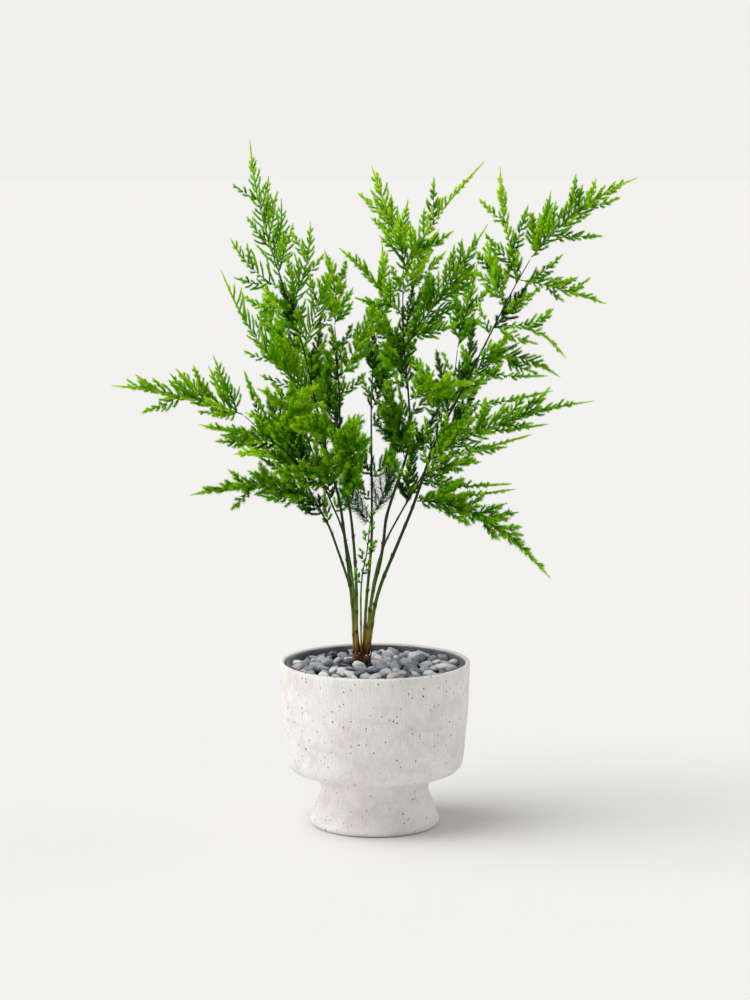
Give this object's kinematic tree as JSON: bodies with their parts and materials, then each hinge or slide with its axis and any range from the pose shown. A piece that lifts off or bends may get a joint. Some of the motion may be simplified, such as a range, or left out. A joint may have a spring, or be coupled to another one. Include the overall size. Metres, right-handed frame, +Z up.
{
  "type": "potted asparagus fern",
  "caption": "Feathery asparagus fern with arching wiry stems, growing through grey pebbles in a round pale stoneware pot on a flared foot.",
  "frame": {"origin": "centre of the flat underside of the pot's foot", "axes": "+Z up, -Y towards the front that the fern faces, +X to the right of that front"},
  "size_m": [0.4753, 0.2281, 0.6454],
  "materials": {
    "stoneware": "unglazed, matt, warm off-white, finely combed with scattered pin-holes",
    "nursery_plastic": "dark grey, satin moulded",
    "compost": null,
    "pebbles": "tumbled river pebbles, blue-grey, dull",
    "woody_crown": "corky brown skin",
    "stem": "smooth dark green, ochre to brown at the foot",
    "foliage": null
  },
  "bodies": {
    "root": {"footed_pot": "stoneware", "grower_pot": "nursery_plastic", "soil": "compost", "pebble_bed": "pebbles", "rootstock": "woody_crown", "stem_left_arch": "stem", "stem_left_tall": "stem", "stem_left_back": "stem", "stem_centre_left": "stem", "stem_low_sprig": "stem", "stem_centre": "stem", "stem_centre_top": "stem", "stem_right_back": "stem", "stem_right_main": "stem", "frond_arch_tip": "foliage", "frond_arch_low": "foliage", "frond_arch_light": "foliage", "frond_arch_plume": "foliage", "frond_arch_mid": "foliage", "frond_arch_back": "foliage", "frond_tall_tip": "foliage", "frond_tall_left": "foliage", "frond_tall_right": "foliage", "frond_second_left": "foliage", "frond_tall_inner": "foliage", "frond_tall_outer": "foliage", "frond_left_bright": "foliage", "frond_left_front": "foliage", "frond_back_tip": "foliage", "frond_back_left": "foliage", "frond_back_right": "foliage", "frond_inner_tip": "foliage", "frond_inner_left": "foliage", "frond_inner_right": "foliage", "frond_front_clump": "foliage", "frond_front_left": "foliage", "frond_centre_tip": "foliage", "frond_centre_back": "foliage", "frond_dark_left": "foliage", "frond_dark_right": "foliage", "frond_top_left": "foliage", "frond_top_right": "foliage", "frond_upper_left": "foliage", "frond_upper_mid": "foliage", "frond_upper_right": "foliage", "frond_middle_left": "foliage", "frond_middle_right": "foliage", "frond_front_fan": "foliage", "frond_rear_tip": "foliage", "frond_rear_left": "foliage", "frond_rear_right": "foliage", "frond_rear_low": "foliage", "frond_main_tip": "foliage", "frond_main_left": "foliage", "frond_main_right": "foliage", "frond_main_cluster": "foliage", "frond_right_upper": "foliage", "frond_right_middle": "foliage", "frond_right_long": "foliage", "frond_lower_right": "foliage"}
  },
  "joints": []
}
